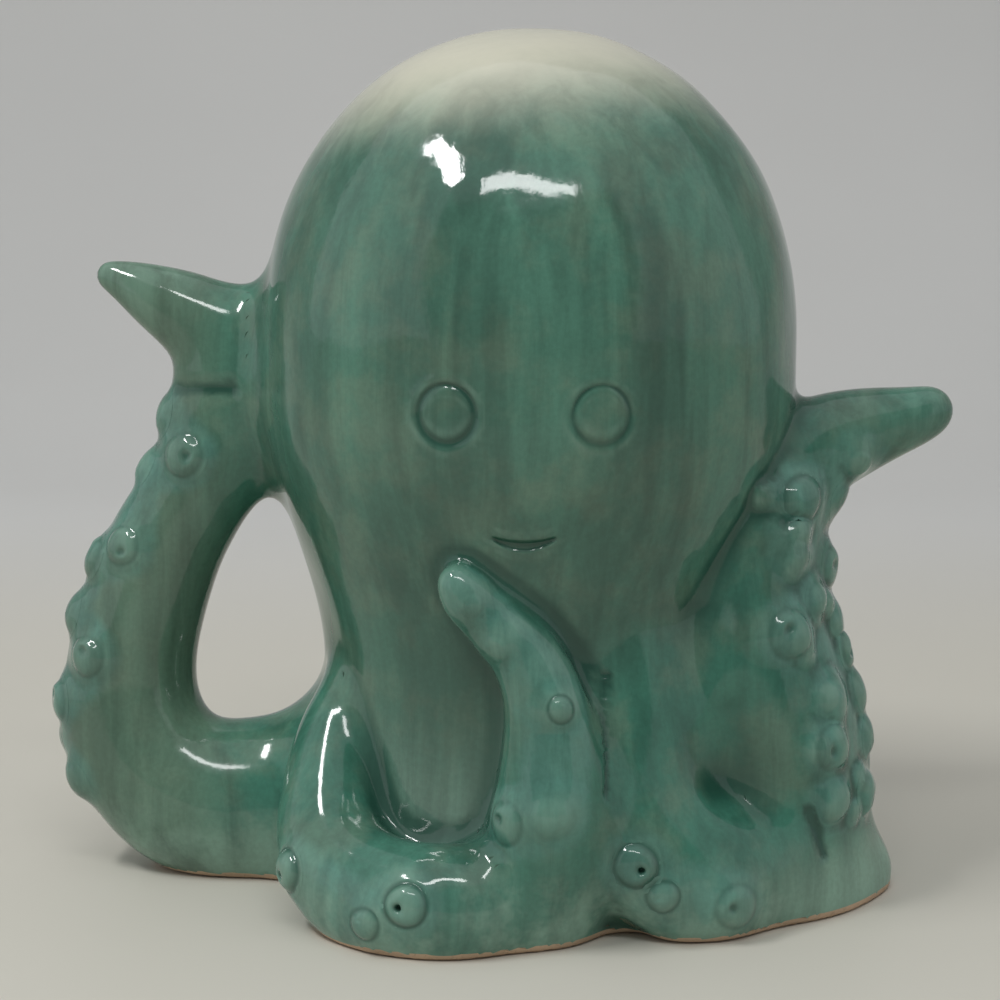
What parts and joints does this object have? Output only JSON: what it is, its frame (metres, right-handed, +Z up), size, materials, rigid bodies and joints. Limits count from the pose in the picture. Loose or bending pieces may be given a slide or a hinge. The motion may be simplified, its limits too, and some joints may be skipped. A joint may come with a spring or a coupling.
{
  "type": "octopus figurine",
  "caption": "Glazed ceramic octopus figurine: domed hollow mantle with an incised face, and curling arms with pricked suckers luted round the foot.",
  "frame": {"origin": "on the mantle's axis, where the floor slab meets the table", "axes": "+Z up, +X to the right of a viewer facing the octopus, and its face looks along -Y"},
  "size_m": [0.1904, 0.1281, 0.178],
  "materials": {
    "mantle_glaze": "gloss",
    "arm_glaze": "gloss",
    "sucker_glaze": "gloss",
    "bare_clay": "matte"
  },
  "bodies": {
    "root": {"mantle": "mantle_glaze", "base_slab": "bare_clay", "arm_left_handle": "arm_glaze", "arm_right_raised": "arm_glaze", "arm_front_raised": "arm_glaze", "arm_front_left": "arm_glaze", "arm_front_right": "arm_glaze", "arm_back_right": "arm_glaze", "arm_back": "arm_glaze", "arm_back_left": "arm_glaze", "suckers_left_handle": "sucker_glaze", "suckers_right_raised": "sucker_glaze", "suckers_front_raised": "sucker_glaze", "suckers_front_left": "sucker_glaze", "suckers_front_right": "sucker_glaze", "suckers_back_right": "sucker_glaze", "suckers_back": "sucker_glaze", "suckers_back_left": "sucker_glaze"}
  },
  "joints": []
}
